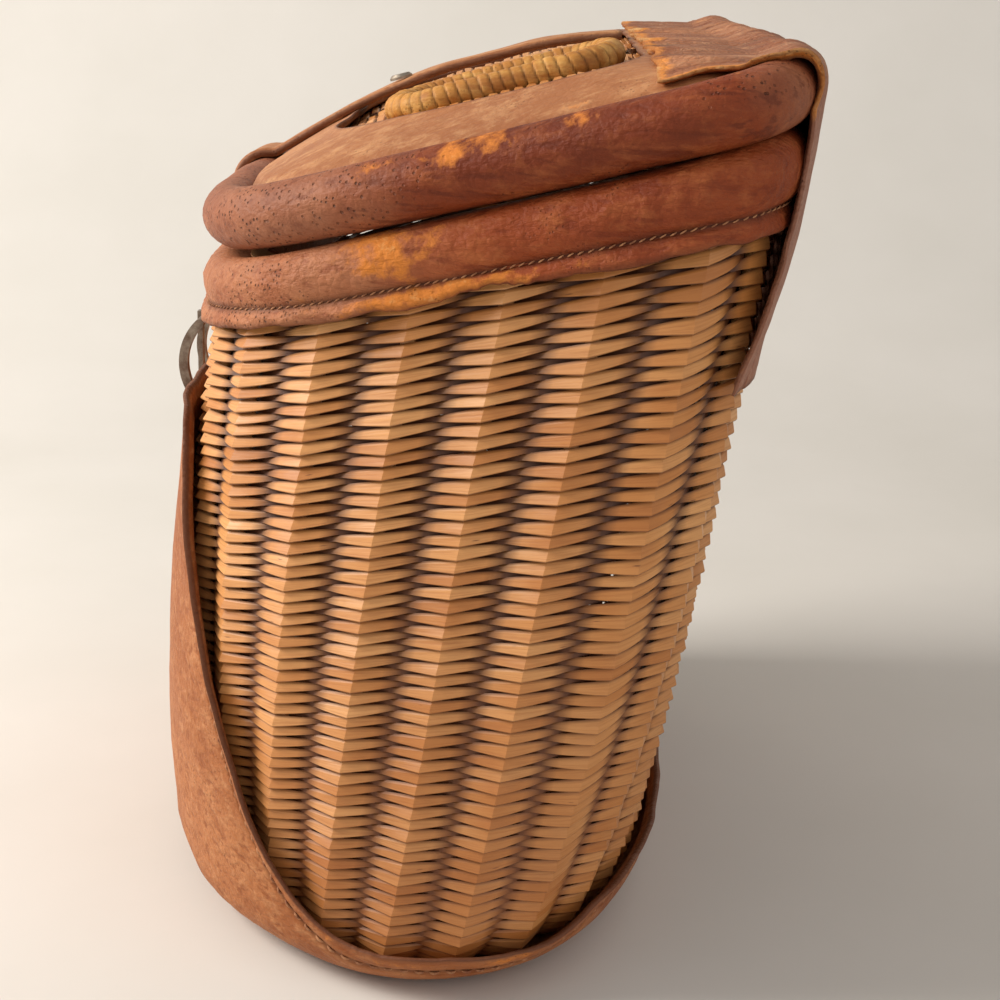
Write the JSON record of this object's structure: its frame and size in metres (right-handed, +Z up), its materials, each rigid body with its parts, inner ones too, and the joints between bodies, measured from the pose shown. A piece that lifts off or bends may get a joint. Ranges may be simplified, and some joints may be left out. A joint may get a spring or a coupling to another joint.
{
  "type": "wicker fishing creel",
  "caption": "Leather-bound wicker fishing creel: a bellied woven basket with a sloping lid on a leather hinge, a fish hole in the lid and a strap that closes with a buckle.",
  "frame": {"origin": "middle of the whole creel's footprint, on the surface it stands on", "axes": "+X along the creel's length, +Y towards the hinge at the back, +Z up; the buckle is on the -Y side"},
  "size_m": [0.3324, 0.1845, 0.2571],
  "materials": {
    "willow": "woven split willow, honey to orange brown, waxed matt",
    "willow_frame": "round willow rod, matt",
    "harness_leather": "thick red-brown leather, worn satin",
    "old_leather": "soft cracked leather with torn orange edges",
    "collar_leather": "wrapped golden brown leather",
    "aged_steel": "dull aged nickel-plated steel"
  },
  "bodies": {
    "basket": {"wicker_wall": "willow", "stakes": "willow_frame", "wicker_base": "willow", "rim_hoop": "willow_frame", "rim_binding": "harness_leather", "leather_boot": "harness_leather", "hinge_leather_body": "old_leather", "buckle_chape": "harness_leather"},
    "lid": {"lid_panel": "willow", "lid_border": "harness_leather", "lid_roll": "harness_leather", "lid_hoop": "willow_frame", "fish_hole_collar": "collar_leather", "hinge_leather_lid": "old_leather", "closing_strap": "harness_leather", "strap_rivet": "aged_steel"},
    "strap_end": {"strap_tail": "harness_leather"},
    "buckle": {"buckle_frame": "aged_steel"},
    "prong": {"buckle_prong": "aged_steel"}
  },
  "joints": [
    {"name": "lid_hinge", "type": "hinge", "parent": "basket", "child": "lid", "pos_m": [0, 0.0907, 0.23767], "axis": [-1, 0, 0], "range_deg": [0, 110]},
    {"name": "strap_bend", "type": "hinge", "parent": "lid", "child": "strap_end", "pos_m": [0, -0.0726, 0.20432], "axis": [-1, 0, 0], "range_deg": [0, 90]},
    {"name": "buckle_swing", "type": "hinge", "parent": "basket", "child": "buckle", "pos_m": [0, -0.08412, 0.138], "axis": [1, 0, 0], "range_deg": [0, 110]},
    {"name": "prong_swing", "type": "hinge", "parent": "buckle", "child": "prong", "pos_m": [0, -0.08412, 0.138], "axis": [1, 0, 0], "range_deg": [0, 30]}
  ]
}
